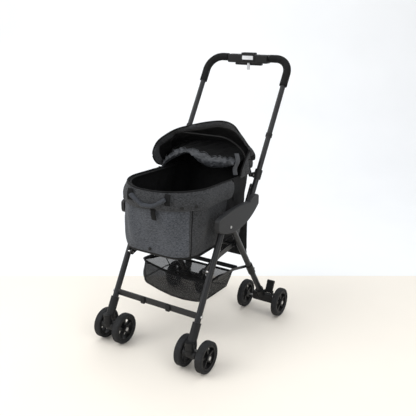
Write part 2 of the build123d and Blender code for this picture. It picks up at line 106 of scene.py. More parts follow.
class Nodes:
    """Short hand for building one material's node tree."""

    def __init__(self, name):
        self.material = bpy.data.materials.new(name)
        self.material.use_nodes = True
        self.tree = self.material.node_tree
        self.shader = self.tree.nodes["Principled BSDF"]
        self.place = self.add("ShaderNodeTexCoord").outputs["Object"]

    def add(self, kind, **values):
        node = self.tree.nodes.new(kind)
        for key, value in values.items():
            setattr(node, key, value)
        return node

    def link(self, source, target):
        self.tree.links.new(source, target)

    def stretched(self, scale):
        mapping = self.add("ShaderNodeMapping")
        mapping.inputs["Scale"].default_value = scale
        self.link(self.place, mapping.inputs["Vector"])
        return mapping.outputs["Vector"]

    def noise(self, scale, detail=3.0, place=None, roughness=0.55):
        node = self.add("ShaderNodeTexNoise")
        node.inputs["Scale"].default_value = scale
        node.inputs["Detail"].default_value = detail
        node.inputs["Roughness"].default_value = roughness
        self.link(place or self.place, node.inputs["Vector"])
        return node.outputs["Fac"]

    def ramp(self, source, stops):
        node = self.add("ShaderNodeValToRGB")
        while len(node.color_ramp.elements) < len(stops):
            node.color_ramp.elements.new(0.5)
        for element, (position, colour) in zip(node.color_ramp.elements, stops):
            element.position = position
            element.color = (*colour, 1)
        self.link(source, node.inputs["Fac"])
        return node.outputs["Color"]

    def maths(self, kind, first, second):
        node = self.add("ShaderNodeMath", operation=kind)
        for socket, value in zip(node.inputs, (first, second)):
            if isinstance(value, (int, float)):
                socket.default_value = value
            else:
                self.link(value, socket)
        return node.outputs["Value"]

    def bump(self, height, strength, distance):
        node = self.add("ShaderNodeBump")
        node.inputs["Strength"].default_value = strength
        node.inputs["Distance"].default_value = distance
        self.link(height, node.inputs["Height"])
        self.link(node.outputs["Normal"], self.shader.inputs["Normal"])

    def set(self, **values):
        for key, value in values.items():
            self.shader.inputs[key.replace("_", " ")].default_value = value

    def colour(self, output):
        self.link(output, self.shader.inputs["Base Color"])

    def roughness(self, source, lowest, highest):
        node = self.add("ShaderNodeMapRange")
        node.inputs["To Min"].default_value = lowest
        node.inputs["To Max"].default_value = highest
        self.link(source, node.inputs["Value"])
        self.link(node.outputs["Result"], self.shader.inputs["Roughness"])


def grey(value, blue=0.0):
    return (value, value * (1 + blue / 3), value * (1 + blue))


def weave(nodes, pitch):
    """Height of a plain weave: crossed ribs that run along and across the cloth."""
    across = nodes.add("ShaderNodeTexWave", wave_type="BANDS", bands_direction="Z")
    along = nodes.add("ShaderNodeTexWave", wave_type="BANDS", bands_direction="DIAGONAL")
    for wave in (across, along):
        wave.inputs["Scale"].default_value = 1 / pitch / 3.2
        wave.inputs["Distortion"].default_value = 1.2
        nodes.link(nodes.place, wave.inputs["Vector"])
    return nodes.maths("ADD", across.outputs["Fac"], along.outputs["Fac"])


def heather_fabric(name, dark, pale, blue=0.1):
    """Melange polyester: pale and dark threads in short streaks, over a fine weave."""
    nodes = Nodes(name)
    streaks = nodes.noise(1.0, 4.0, nodes.stretched((150, 150, 560)), 0.7)
    speckle = nodes.noise(620, 2.0)
    cloudy = nodes.noise(9, 2.0)
    mixed = nodes.maths("ADD", nodes.maths("MULTIPLY", streaks, 0.62),
                        nodes.maths("MULTIPLY", speckle, 0.28))
    mixed = nodes.maths("ADD", mixed, nodes.maths("MULTIPLY", cloudy, 0.10))
    nodes.colour(nodes.ramp(mixed, [(0.40, grey(dark, blue)), (0.50, grey((dark + pale) / 2, blue)),
                                    (0.61, grey(pale, blue))]))
    nodes.roughness(speckle, 0.78, 0.95)
    nodes.set(Sheen_Weight=0.06, Sheen_Roughness=0.45, Specular_IOR_Level=0.12)
    nodes.bump(nodes.maths("ADD", weave(nodes, 0.0014), nodes.maths("MULTIPLY", speckle, 0.8)), 0.35, 0.0006)
    return nodes.material


def plain_fabric(name, shade, pitch, sheen=0.03, roughness=(0.6, 0.85), blue=0.06, specular=0.10):
    """Woven nylon or webbing in one dark colour with faint unevenness."""
    nodes = Nodes(name)
    uneven = nodes.noise(60, 3.0)
    threads = weave(nodes, pitch)
    nodes.colour(nodes.ramp(uneven, [(0.3, grey(shade * 0.75, blue)), (0.7, grey(shade * 1.25, blue))]))
    nodes.roughness(uneven, *roughness)
    nodes.set(Sheen_Weight=sheen, Sheen_Roughness=0.4, Specular_IOR_Level=specular)
    nodes.bump(threads, 0.3, 0.0005)
    return nodes.material


def net_fabric(name):
    """Open black net: dark threads that light passes between."""
    nodes = Nodes(name)
    uneven = nodes.noise(90, 3.0)
    nodes.colour(nodes.ramp(uneven, [(0.3, grey(0.012)), (0.7, grey(0.028, 0.05))]))
    nodes.roughness(uneven, 0.7, 0.95)
    nodes.set(Alpha=0.55, Specular_IOR_Level=0.1)
    nodes.bump(weave(nodes, 0.003), 0.4, 0.0006)
    return nodes.material


def painted_tube(name, shade, roughness=(0.26, 0.42)):
    """Satin powder coat: slight orange peel and faint scuffs."""
    nodes = Nodes(name)
    peel = nodes.noise(900, 2.0)
    scuffs = nodes.noise(1.0, 5.0, nodes.stretched((35, 35, 160)), 0.75)
    nodes.colour(nodes.ramp(scuffs, [(0.35, grey(shade, 0.16)), (0.72, grey(shade * 1.35, 0.14)),
                                     (0.86, grey(shade * 3.0, 0.1))]))
    nodes.roughness(scuffs, *roughness)
    nodes.set(Specular_IOR_Level=0.30)
    nodes.bump(peel, 0.12, 0.0003)
    return nodes.material


def moulded_plastic(name, shade, roughness=(0.42, 0.6), blue=0.05, grain=1400, specular=0.22):
    """Injection-moulded plastic with a fine spark-eroded texture."""
    nodes = Nodes(name)
    texture = nodes.noise(grain, 2.0)
    uneven = nodes.noise(25, 3.0)
    nodes.colour(nodes.ramp(uneven, [(0.3, grey(shade * 0.85, blue)), (0.7, grey(shade * 1.18, blue))]))
    nodes.roughness(uneven, *roughness)
    nodes.set(Specular_IOR_Level=specular)
    nodes.bump(texture, 0.25, 0.0003)
    return nodes.material


def foam_rubber(name, shade):
    """Closed-cell foam: fine open pores and a dull surface."""
    nodes = Nodes(name)
    pores = nodes.add("ShaderNodeTexVoronoi")
    pores.inputs["Scale"].default_value = 900
    nodes.link(nodes.place, pores.inputs["Vector"])
    uneven = nodes.noise(70, 4.0)
    nodes.colour(nodes.ramp(uneven, [(0.3, grey(shade * 0.8)), (0.7, grey(shade * 1.3, 0.05))]))
    nodes.roughness(uneven, 0.78, 0.95)
    nodes.set(Specular_IOR_Level=0.12)
    nodes.bump(pores.outputs["Distance"], 0.4, 0.0005)
    return nodes.material


def tyre_rubber(name):
    """Solid tyre: matt dark grey, a little dusty and worn."""
    nodes = Nodes(name)
    dust = nodes.noise(55, 5.0, None, 0.7)
    nodes.colour(nodes.ramp(dust, [(0.35, grey(0.016)), (0.6, grey(0.024, 0.1)),
                                   (0.8, (0.045, 0.043, 0.040))]))
    nodes.roughness(dust, 0.62, 0.92)
    nodes.set(Specular_IOR_Level=0.15)
    nodes.bump(nodes.noise(700, 3.0), 0.3, 0.0005)
    return nodes.material


def brushed_metal(name, shade):
    nodes = Nodes(name)
    grain = nodes.noise(1.0, 3.0, nodes.stretched((40, 900, 900)), 0.6)
    nodes.colour(nodes.ramp(grain, [(0.3, grey(shade * 0.8)), (0.7, grey(shade * 1.1))]))
    nodes.roughness(grain, 0.25, 0.45)
    nodes.set(Metallic=1.0)
    nodes.bump(grain, 0.1, 0.0002)
    return nodes.material


HEATHER = heather_fabric("heather_charcoal", 0.012, 0.072)
HEATHER_FRONT = heather_fabric("heather_front_panel", 0.028, 0.112, 0.22)
LINING = plain_fabric("black_lining", 0.006, 0.0012)
FLAP = plain_fabric("flap_nylon", 0.040, 0.0012, 0.03, (0.34, 0.55), 0.2, 0.35)
SIDE_NYLON = plain_fabric("side_panel_nylon", 0.013, 0.0012)
BINDING = plain_fabric("grosgrain_binding", 0.008, 0.0016)
HEM = plain_fabric("hem_tape", 0.055, 0.0016)
WEBBING = plain_fabric("black_webbing", 0.007, 0.0022)
PADDING = plain_fabric("grip_padding", 0.035, 0.0014, 0.04, (0.5, 0.8), 0.3, 0.2)
NET = net_fabric("basket_net")
TUBE_PAINT = painted_tube("black_powder_coat", 0.010)
FRAME_PLASTIC = moulded_plastic("frame_plastic", 0.010)
COVER_PLASTIC = moulded_plastic("cover_plastic", 0.017, (0.4, 0.52), 0.12, 900)
WHEEL_PLASTIC = moulded_plastic("wheel_plastic", 0.008, (0.4, 0.6))
TONGUE_PLASTIC = moulded_plastic("tongue_plastic", 0.50, (0.4, 0.55))
PLATE_PLASTIC = moulded_plastic("plate_plastic", 0.62, (0.3, 0.45))
FOAM = foam_rubber("grip_foam", 0.010)
TYRE = tyre_rubber("tyre_rubber")
STEEL = brushed_metal("zinc_steel", 0.55)

SLOT_MATERIALS = {
    "frame_tube": TUBE_PAINT, "frame_plastic": FRAME_PLASTIC, "cover_plastic": COVER_PLASTIC,
    "steel": STEEL, "foam": FOAM, "tyre": TYRE, "wheel_plastic": WHEEL_PLASTIC,
    "tongue_plastic": TONGUE_PLASTIC, "cabin_fabric": HEATHER, "lining_fabric": LINING,
    "webbing": WEBBING, "mesh": NET, "board": SIDE_NYLON,
}


def dress_cad_nodes():
    """Give every CAD node the detailed material of its slot."""
    slots = {s["node"]: s["material_slot"] for s in frame["record"]["subparts"]}
    for node, piece in frame["nodes"].items():
        for index in range(max(1, len(piece.material_slots))):
            if len(piece.material_slots) <= index:
                piece.data.materials.append(None)
            piece.material_slots[index].material = SLOT_MATERIALS[slots[node]]


# Mesh helpers -------------------------------------------------------------------------------------

def new_piece(name, vertices, faces, materials, smooth=True):
    mesh = bpy.data.meshes.new(name)
    mesh.from_pydata([tuple(v) for v in vertices], [], faces)
    mesh.update()
    for material in materials:
        mesh.materials.append(material)
    for polygon in mesh.polygons:
        polygon.use_smooth = smooth
    piece = bpy.data.objects.new(name, mesh)
    bpy.context.collection.objects.link(piece)
    return piece


def grid_faces(rows, columns, closed=False):
    """Quads of a grid of points stored row by row; closed joins the last column to the first."""
    faces = []
    for row in range(rows - 1):
        for column in range(columns if closed else columns - 1):
            beside = (column + 1) % columns
            faces.append((row * columns + column, row * columns + beside,
                          (row + 1) * columns + beside, (row + 1) * columns + column))
    return faces


def settle(piece):
    """Apply every modifier, so the mesh is final."""
    bpy.context.view_layer.update()
    evaluated = piece.evaluated_get(bpy.context.evaluated_depsgraph_get())
    mesh = bpy.data.meshes.new_from_object(evaluated)
    mesh.name = piece.name
    piece.modifiers.clear()
    piece.data = mesh
    for polygon in mesh.polygons:
        polygon.use_smooth = True
    return piece


def thicken(piece, thickness, inner_material=0, levels=1, outward=-1.0):
    """Give a sheet its thickness and round it; the inner side may take another material slot."""
    solid = piece.modifiers.new("thickness", "SOLIDIFY")
    solid.thickness = thickness
    solid.offset = outward
    solid.material_offset = inner_material
    solid.material_offset_rim = 0
    if levels:
        piece.modifiers.new("round", "SUBSURF").levels = levels
        piece.modifiers["round"].render_levels = levels
    return settle(piece)


def tube(name, points, radius, material, closed=False, flat=1.0, sides=10):
    """Round or flattened strand along points, with flat end caps where it is open."""
    count = len(points)
    vertices = []
    for index, point in enumerate(points):
        before = points[(index - 1) % count] if closed or index else points[0]
        after = points[(index + 1) % count] if closed or index < count - 1 else points[-1]
        run = (after - before).normalized()
        side = run.cross(Vector((0, 0, 1)))
        side = side.normalized() if side.length > 1e-4 else Vector((1, 0, 0))
        upward = side.cross(run).normalized()
        for step in range(sides):
            angle = 2 * pi * step / sides
            vertices.append(point + radius * cos(angle) * side + radius * flat * sin(angle) * upward)
    faces = grid_faces(count, sides, True)
    if closed:
        last = (count - 1) * sides
        faces += [(last + step, last + (step + 1) % sides, (step + 1) % sides, step) for step in range(sides)]
    else:
        faces += [tuple(range(sides))[::-1], tuple((count - 1) * sides + step for step in range(sides))]
    piece = new_piece(name, vertices, faces, [material])
    turn_outward(piece)
    return piece


def turn_outward(piece):
    mesh = bmesh.new()
    mesh.from_mesh(piece.data)
    bmesh.ops.recalc_face_normals(mesh, faces=mesh.faces)
    mesh.to_mesh(piece.data)
    mesh.free()
    return piece


def strap(name, points, width_direction, width, thickness, material):
    """Flat webbing along points: width_direction is across it."""
    across = Vector(width_direction).normalized() * width / 2
    vertices = []
    for index, point in enumerate(points):
        run = (points[min(index + 1, len(points) - 1)] - points[max(index - 1, 0)]).normalized()
        out = run.cross(across).normalized() * thickness / 2
        vertices += [point - across - out, point + across - out, point + across + out, point - across + out]
    faces = grid_faces(len(points), 4, True)
    last = 4 * (len(points) - 1)
    faces += [(3, 2, 1, 0), (last, last + 1, last + 2, last + 3)]
    piece = new_piece(name, vertices, faces, [material])
    bevel = piece.modifiers.new("edge", "BEVEL")
    bevel.width = thickness / 3
    bevel.segments = 2
    return turn_outward(settle(piece))


def crumple(piece, pinned, expand, frames, cap, gravity):
    """Cloth simulation of a sheet cut a little too large for where it is sewn, so it buckles."""
    start = [v.co.copy() for v in piece.data.vertices]
    group = piece.vertex_groups.new(name="sewn")
    group.add(pinned, 1.0, "REPLACE")
    cloth = piece.modifiers.new("cloth", "CLOTH")
    cloth.settings.quality = 6
    cloth.settings.mass = 0.25
    cloth.settings.tension_stiffness = 18
    cloth.settings.compression_stiffness = 18
    cloth.settings.bending_stiffness = 0.6
    cloth.settings.shrink_min = -expand
    cloth.settings.vertex_group_mass = "sewn"
    cloth.settings.effector_weights.gravity = gravity
    cloth.point_cache.frame_start = 1
    cloth.point_cache.frame_end = frames
    for step in range(1, frames + 1):
        bpy.context.scene.frame_set(step)
    settle(piece)
    bpy.context.scene.frame_set(1)
    for vertex, before in zip(piece.data.vertices, start):
        move = vertex.co - before
        if move.length > cap:
            vertex.co = before + move.normalized() * cap
    return piece


def smooth_step(value):
    value = min(1.0, max(0.0, value))
    return value * value * (3 - 2 * value)


def smooth_curve(points, per_span=8):
    """Points along a smooth line through a few given ones."""
    spread = []
    for index in range(len(points) - 1):
        before, first = points[max(index - 1, 0)], points[index]
        second, after = points[index + 1], points[min(index + 2, len(points) - 1)]
        for step in range(per_span):
            t = step / per_span
            spread.append(0.5 * (2 * first + (second - before) * t
                                 + (2 * before - 5 * first + 4 * second - after) * t * t
                                 + (3 * first - before - 3 * second + after) * t ** 3))
    return spread + [points[-1]]


# Cabin --------------------------------------------------------------------------------------------

RIM_HALF = high("cabin_shell").x
RIM_Z = high("cabin_shell").z
FLOOR_Z = low("cabin_shell").z
FRONT_Y = low("cabin_shell").y
REAR_Y = high("cabin_shell").y
FLOOR_HALF = RIM_HALF - 0.008
FLOOR_FRONT = FRONT_Y + 0.026
FLOOR_REAR = REAR_Y - 0.046
SLUMP = -0.010                          # the soft bottom hangs a little to the left
RIM_DROP = 0.012                        # the rim is this much lower at the back
SIDE_STEPS = 22
FRONT_STEPS = 20
REAR_STEPS = 8


def tub_loop(half, front, rear, front_radius, rear_radius, height):
    """Closed plan outline, clockwise seen from above from the right side's rear end, as (point, outward)."""
    loop = []

    def arc(centre, radius, start, stop, steps):
        for step in range(steps):
            angle = radians(start + (stop - start) * step / steps)
            out = Vector((cos(angle), sin(angle), 0))
            loop.append((Vector((*centre, height)) + radius * out, out))

    def line(start, stop, out, steps):
        for step in range(steps):
            point = Vector((*start, height)).lerp(Vector((*stop, height)), step / steps)
            loop.append((point, Vector(out)))

    fr, rr = front_radius, rear_radius
    line((half, rear - rr), (half, front + fr), (1, 0, 0), SIDE_STEPS)
    arc((half - fr, front + fr), fr, 0, -90, FRONT_STEPS)
    line((half - fr, front), (fr - half, front), (0, -1, 0), 4)
    arc((fr - half, front + fr), fr, -90, -180, FRONT_STEPS)
    line((-half, front + fr), (-half, rear - rr), (-1, 0, 0), SIDE_STEPS)
    arc((rr - half, rear - rr), rr, 180, 90, REAR_STEPS)
    line((rr - half, rear), (half - rr, rear), (0, 1, 0), 24)
    arc((half - rr, rear - rr), rr, 90, 0, REAR_STEPS)
    return loop


def rim_drop(y):
    return RIM_DROP * smooth_step((y - FRONT_Y) / (REAR_Y - FRONT_Y))


def wall_loop(share):
    """Outline of the cabin wall at a share of its height, from the floor to the rim."""
    loop = tub_loop(FLOOR_HALF + (RIM_HALF - FLOOR_HALF) * share,
                    FLOOR_FRONT + (FRONT_Y - FLOOR_FRONT) * share,
                    FLOOR_REAR + (REAR_Y - FLOOR_REAR) * share,
                    0.080 + 0.070 * share, 0.045, FLOOR_Z + (RIM_Z - FLOOR_Z) * share)
    bulge = 0.005 * sin(pi * share)
    placed = []
    for point, out in loop:
        level = Vector(point) - Vector((0, 0, rim_drop(point.y) * share))
        level.x += SLUMP * (1 - share)
        placed.append((level + bulge * out, out))
    return placed


def wrinkle(point, scale, depth, seed):
    return depth * noise.noise(Vector(point) * scale + Vector((seed, seed * 2, 0)))


SIDE_SEAM_Y = AXLES_MIDDLE + 0.02
SIDE_SEAM_LEAN = 0.06                   # the side seam runs forward by this much down to the floor
FRONT_SEAM_X = 0.134
FRONT_PANEL_REAR = FRONT_Y + 0.14
WALL_ROWS = 18
BOTTOM_ROWS = 5
CABIN_MATERIALS = [HEATHER, LINING, SIDE_NYLON, HEATHER_FRONT]


def cabin_points():
    """Rows of points from the middle of the underside out to the wall's foot, then up to the rim."""
    vertices = []
    floor_middle = Vector((0, (FLOOR_FRONT + FLOOR_REAR) / 2, FLOOR_Z))
    for row in range(BOTTOM_ROWS):
        share = (row + 0.35) / BOTTOM_ROWS
        sag = 0.003 * (1 - share)
        for point, out in wall_loop(0):
            spot = floor_middle.lerp(point, share * 0.985)
            vertices.append(Vector((spot.x, spot.y, FLOOR_Z - sag + 0.003)))
    for row in range(WALL_ROWS):
        share = row / (WALL_ROWS - 1)
        edge = 0.006 * max(0.0, 1 - share * 9)
        for point, out in wall_loop(share):
            fold = wrinkle((point.x * 1.2, point.y * 1.2, point.z * 0.5), 17, 0.009, 3.1)
            fold += wrinkle(point, 38, 0.0022, 7.7)
            fold *= smooth_step(share * 4) * smooth_step((1 - share) * 4)
            vertices.append(point + (fold - edge) * out)
    return vertices


def colour_cabin(piece, rim):
    """Nylon below and behind the side seam, and a paler panel between the two front seams."""
    columns = len(rim)
    for polygon in piece.data.polygons:
        centre = polygon.center
        spot = rim[min(polygon.vertices[0] % columns, polygon.vertices[2] % columns)]
        lean = SIDE_SEAM_LEAN * (RIM_Z - centre.z) / (RIM_Z - FLOOR_Z)
        if centre.z < FLOOR_Z + 0.008 or centre.y > SIDE_SEAM_Y - lean:
            polygon.material_index = CABIN_MATERIALS.index(SIDE_NYLON)
        elif abs(spot.x + 0.002) < FRONT_SEAM_X and spot.y < FRONT_PANEL_REAR:
            polygon.material_index = CABIN_MATERIALS.index(HEATHER_FRONT)


def make_front_seams(vertices, rim):
    columns = len(rim)
    for name, side in (("left", -1), ("right", 1)):
        column = min(range(columns), key=lambda i: abs(rim[i].x - side * FRONT_SEAM_X)
                     + (rim[i].y > FRONT_PANEL_REAR))
        line = [vertices[(BOTTOM_ROWS + row) * columns + column] for row in range(1, WALL_ROWS - 4)]
        seam = tube(f"front_seam_{name}", smooth_curve(line, 3), 0.0016, BINDING, sides=6)
        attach(seam, "upper_frame")


def copy_as_lining(piece):
    """The same walls again, a little smaller and all in the lining cloth."""
    lined = piece.copy()
    lined.data = piece.data.copy()
    lined.name = "cabin_lining"
    bpy.context.collection.objects.link(lined)
    for polygon in lined.data.polygons:
        polygon.material_index = CABIN_MATERIALS.index(LINING)
    inward = lined.modifiers.new("inside", "DISPLACE")
    inward.strength = -0.0045
    inward.mid_level = 0
    return settle(lined)


def make_cabin():
    """Outer walls and underside in one sheet, closed at the bottom; the inside is lined."""
    rim = [point for point, out in wall_loop(1.0)]
    columns = len(rim)
    vertices = cabin_points()
    faces = grid_faces(WALL_ROWS + BOTTOM_ROWS, columns, True)
    faces.append(tuple(range(columns))[::-1])
    piece = turn_outward(new_piece("cabin_body", vertices, faces, CABIN_MATERIALS))
    colour_cabin(piece, rim)
    make_front_seams(vertices, rim)
    lined = copy_as_lining(piece)
    thicken(lined, 0.001)
    thicken(piece, 0.0022)
    for part in (piece, lined):
        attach(part, "upper_frame")
    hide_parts("cabin_shell")


SKIRT_DEPTH = 0.062
SKIRT_REAR = high("cabin_skirt").y


def skirt_loop(share):
    """Part of the wall outline in front of the skirt's rear ends, ordered from left to right."""
    before = [point.y < SKIRT_REAR for point, out in wall_loop(1.0)]
    return [pair for pair, kept in zip(wall_loop(share), before) if kept]


def make_skirt():
    """Loose band sewn under the rim, which stands off the wall and ripples along its hem."""
    rows = 9
    vertices = []
    for row in range(rows):
        depth = row / (rows - 1)
        share = 1 - depth * SKIRT_DEPTH / (RIM_Z - FLOOR_Z)
        for point, out in skirt_loop(share):
            stand = 0.0018 + 0.0105 * sin(pi * min(1, depth * 0.80))
            ripple = wrinkle((point.x * 1.0, point.y * 1.0, 0.0), 26, 0.0035 * depth, 1.3)
            ripple += wrinkle((point.x, point.y, point.z), 60, 0.0012, 5.5)
            hang = 0.004 * depth * noise.noise(Vector((point.x * 12, point.y * 12, 3.3)))
            vertices.append(point + (stand + ripple) * out - Vector((0, 0, hang)))
    columns = len(vertices) // rows
    hem = tube("skirt_hem", vertices[(rows - 1) * columns:], 0.0014, HEM, sides=6)
    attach(hem, "upper_frame")
    piece = new_piece("cabin_skirt_band", vertices, grid_faces(rows, columns), [HEATHER])
    turn_outward(piece)
    thicken(piece, 0.0016, levels=1, outward=0.0)
    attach(piece, "upper_frame")
    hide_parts("cabin_skirt")


def make_rim():
    """Black piping with the zip under it, all round the cabin's rim."""
    loop = [point + 0.0005 * out + Vector((0, 0, 0.001)) for point, out in wall_loop(1.0)]
    rim = tube("rim_piping", loop, 0.0030, BINDING, closed=True, sides=8)
    inner = [point - 0.009 * out - Vector((0, 0, 0.004)) for point, out in wall_loop(1.0)]
    zip_tape = tube("rim_zip_tape", inner, 0.0042, BINDING, closed=True, flat=0.5, sides=8)
    for piece in (rim, zip_tape):
        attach(piece, "upper_frame")


def front_point(x, z, out=0.0):
    """Point on the cabin's front wall at a given X and height."""
    share = (z - FLOOR_Z) / (RIM_Z - FLOOR_Z)
    ring = [p + out * o for p, o in wall_loop(share) if p.y < FRONT_Y + 0.16]
    ring.sort(key=lambda p: p.x)
    for first, second in zip(ring, ring[1:]):
        if first.x <= x <= second.x:
            spot = first.lerp(second, (x - first.x) / max(1e-9, second.x - first.x))
            return Vector((x, spot.y, z))
    return ring[0]


GRAB_ANCHORS = (-0.062, 0.084)


def make_grab_handle():
    """Padded grip that hangs in a bow between two webbing anchors on the front."""
    anchors = [front_point(x, RIM_Z - 0.012, 0.015) for x in GRAB_ANCHORS]
    mid = (anchors[0] + anchors[1]) / 2 + Vector((0, -0.016, -0.034))
    ends = [anchors[0] + Vector((0.010, -0.006, -0.010)), anchors[1] + Vector((-0.010, -0.006, -0.010))]
    line = smooth_curve([anchors[0], ends[0], ends[0].lerp(mid, 0.6) + Vector((0, 0, -0.008)), mid,
                         ends[1].lerp(mid, 0.6) + Vector((0, 0, -0.008)), ends[1], anchors[1]], 8)
    grip = tube("grab_grip", line[6:-6], 0.0095, PADDING, flat=0.75, sides=14)
    for vertex in grip.data.vertices:
        vertex.co += wrinkle(vertex.co, 90, 0.0012, 2.2) * vertex.normal
    grip.modifiers.new("round", "SUBSURF").levels = 1
    settle(grip)
    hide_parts("grab_handle")
    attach(grip, "upper_frame")
    for name, x in zip(("left", "right"), GRAB_ANCHORS):
        top = front_point(x, RIM_Z - 0.002, 0.0125)
        foot = front_point(x, RIM_Z - 0.040, 0.0175)
        slack = Vector((0, -0.003, 0))
        points = [top, top.lerp(foot, 0.3) + slack, top.lerp(foot, 0.6) + slack, foot]
        loop = strap(f"grab_anchor_{name}", smooth_curve(points, 4), (1, 0, 0), 0.022, 0.0025, WEBBING)
        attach(loop, "upper_frame")


def disc(name, centre, out, radius, height, material):
    """Small domed round piece, such as a snap, facing outwards."""
    out = Vector(out).normalized()
    side = out.cross(Vector((0, 0, 1))).normalized()
    upward = side.cross(out)
    profile = [(1.0, 0.0), (1.0, 0.55), (0.86, 0.9), (0.55, 1.0), (0.45, 0.8), (0.0, 0.75)]
    sides = 20
    vertices = []
    for share, lift in profile:
        for step in range(sides):
            angle = 2 * pi * step / sides
            vertices.append(centre + out * height * lift
                            + radius * share * (cos(angle) * side + sin(angle) * upward))
    faces = grid_faces(len(profile), sides, True)
    faces.append(tuple(range(sides))[::-1])
    piece = turn_outward(new_piece(name, vertices, faces, [material]))
    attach(piece, "upper_frame")


def make_cabin_trim():
    """Strap tab, snaps and the side zip strap."""
    tab_top = front_point(0.030, RIM_Z - 0.058, 0.010)
    tab_foot = front_point(0.030, RIM_Z - 0.098, 0.007)
    tab = strap("strap_tab", [tab_top, tab_top.lerp(tab_foot, 0.5) + Vector((0, -0.002, 0)), tab_foot],
                (1, 0, 0), 0.019, 0.003, WEBBING)
    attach(tab, "upper_frame")
    hem = RIM_Z - SKIRT_DEPTH + 0.012
    skirt_out = 0.0105
    for index, x in enumerate((0.120, 0.150)):
        for name, side in (("left", -1), ("right", 1)):
            spot = front_point(side * x, hem, skirt_out)
            out = Vector((side * x, spot.y - (FRONT_Y + 0.15), 0))
            disc(f"skirt_snap_{index}_{name}", spot, out, 0.0068, 0.003, FRAME_PLASTIC)
    low_spot = front_point(-0.008, FLOOR_Z + 0.030, 0.002)
    disc("panel_snap", low_spot, (0, -1, 0), 0.0060, 0.003, FRAME_PLASTIC)
    for name, side in (("left", -1), ("right", 1)):
        line = []
        for step in range(9):
            depth = 0.004 + 0.085 * step / 8
            share = 1 - depth / (RIM_Z - FLOOR_Z)
            half = FLOOR_HALF + (RIM_HALF - FLOOR_HALF) * share
            out = 0.0040 + 0.0015 * sin(step)
            line.append(Vector((side * (half + out), SKIRT_REAR - 0.012 + 0.0012 * step, RIM_Z - depth)))
        flap = strap(f"side_strap_{name}", smooth_curve(line, 3), (0, 1, 0), 0.011, 0.0022, WEBBING)
        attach(flap, "upper_frame")


# Hood ---------------------------------------------------------------------------------------------

HOOD_MIDDLE = at(0, 0.100, 0.640)
FACING_ROWS = 5
FOOT_TUCK = 0.010                       # the hood's feet reach down outside the rim


HOOD_EDGE = [(-0.163, 0.060, 0.612), (-0.169, 0.020, 0.628), (-0.173, 0.002, 0.665), (-0.165, 0.020, 0.708),
             (-0.130, 0.040, 0.740), (-0.089, 0.050, 0.762), (-0.030, 0.052, 0.780), (0.040, 0.052, 0.798),
             (0.100, 0.056, 0.806), (0.138, 0.064, 0.795), (0.156, 0.080, 0.765), (0.166, 0.110, 0.728),
             (0.168, 0.132, 0.700), (0.168, 0.108, 0.672), (0.167, 0.080, 0.636), (0.164, 0.076, 0.612)]
HOOD_CROWN = [(-0.165, 0.110, 0.612), (-0.171, 0.095, 0.650), (-0.168, 0.095, 0.700), (-0.128, 0.112, 0.730),
              (-0.060, 0.118, 0.748), (0.030, 0.120, 0.762), (0.105, 0.122, 0.766), (0.146, 0.126, 0.748),
              (0.166, 0.140, 0.718), (0.171, 0.158, 0.695), (0.171, 0.150, 0.660), (0.166, 0.130, 0.614)]
HOOD_FOLD = [(-0.162, 0.150, 0.612), (-0.170, 0.160, 0.640), (-0.162, 0.168, 0.672), (-0.110, 0.172, 0.684),
             (0.000, 0.174, 0.690), (0.110, 0.174, 0.692), (0.156, 0.176, 0.686), (0.170, 0.180, 0.664),
             (0.168, 0.172, 0.638), (0.162, 0.160, 0.613)]
HOOD_REAR = [(-0.150, 0.166, 0.608), (-0.120, 0.171, 0.611), (0.000, 0.172, 0.612), (0.120, 0.171, 0.611),
             (0.150, 0.166, 0.608)]


def line_at(points, share):
    """Point at a share of the number of points along a smooth line."""
    whole = (len(points) - 1) * share
    index = min(int(whole), len(points) - 2)
    return points[index].lerp(points[index + 1], whole - index)


HOOD_BOWS = [smooth_curve([at(*point) for point in bow], 10)
             for bow in (HOOD_EDGE, HOOD_CROWN, HOOD_FOLD, HOOD_REAR)]


def hood_point(share, back):
    """Point of the hood: share goes over it from the left foot to the right foot, and back goes
    from 0 at the front edge to 1 where it is sewn to the cabin's rear rim."""
    bows = [line_at(bow, share) for bow in HOOD_BOWS]
    return line_at(smooth_curve(bows, 6), back)


def make_hood():
    rows, columns = 30, 81
    vertices = []
    pinned = []
    for row in range(rows):
        back = row / (rows - 1)
        for column in range(columns):
            point = hood_point(column / (columns - 1), back)
            out = (point - HOOD_MIDDLE).normalized()
            fold = wrinkle((point.x * 0.45, point.y * 1.5, point.z * 1.3), 24, 0.009 * sin(pi * back), 4.4)
            fold += wrinkle(point, 45, 0.0025 * sin(pi * back), 8.2)
            share = column / (columns - 1)
            fold *= smooth_step(share * 8) * smooth_step((1 - share) * 8)
            tuck = FOOT_TUCK * (1 - smooth_step(share * 20) + 1 - smooth_step((1 - share) * 20))
            vertices.append(point + fold * out - Vector((0, 0, tuck)))
            if row in (0, rows - 1) or column in (0, columns - 1):
                pinned.append(row * columns + column)
    piece = new_piece("hood_fabric", vertices, grid_faces(rows, columns), [HEATHER, LINING])
    flip_towards(piece, HOOD_MIDDLE)
    crumple(piece, pinned, expand=0.04, frames=14, cap=0.012, gravity=0.3)
    inside_of_edge(piece, rows, columns)
    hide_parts("hood_shell")
    return piece


def inside_of_edge(piece, rows, columns):
    """Thicken the hood; its inside is black except for a facing of the outer cloth along the front."""
    outer = (rows - 1) * (columns - 1)
    solid = piece.modifiers.new("thickness", "SOLIDIFY")
    solid.thickness = 0.0030
    solid.offset = -1
    solid.material_offset = 1
    settle(piece)
    for index in range(FACING_ROWS * (columns - 1)):
        piece.data.polygons[outer + index].material_index = 0
    piece.modifiers.new("round", "SUBSURF").levels = 1
    settle(piece)


def flip_towards(piece, inside):
    """Make the faces of an open sheet look away from a point inside it."""
    turn_outward(piece)
    facing = sum((p.center - inside).dot(p.normal) * p.area for p in piece.data.polygons)
    if facing < 0:
        piece.data.flip_normals()


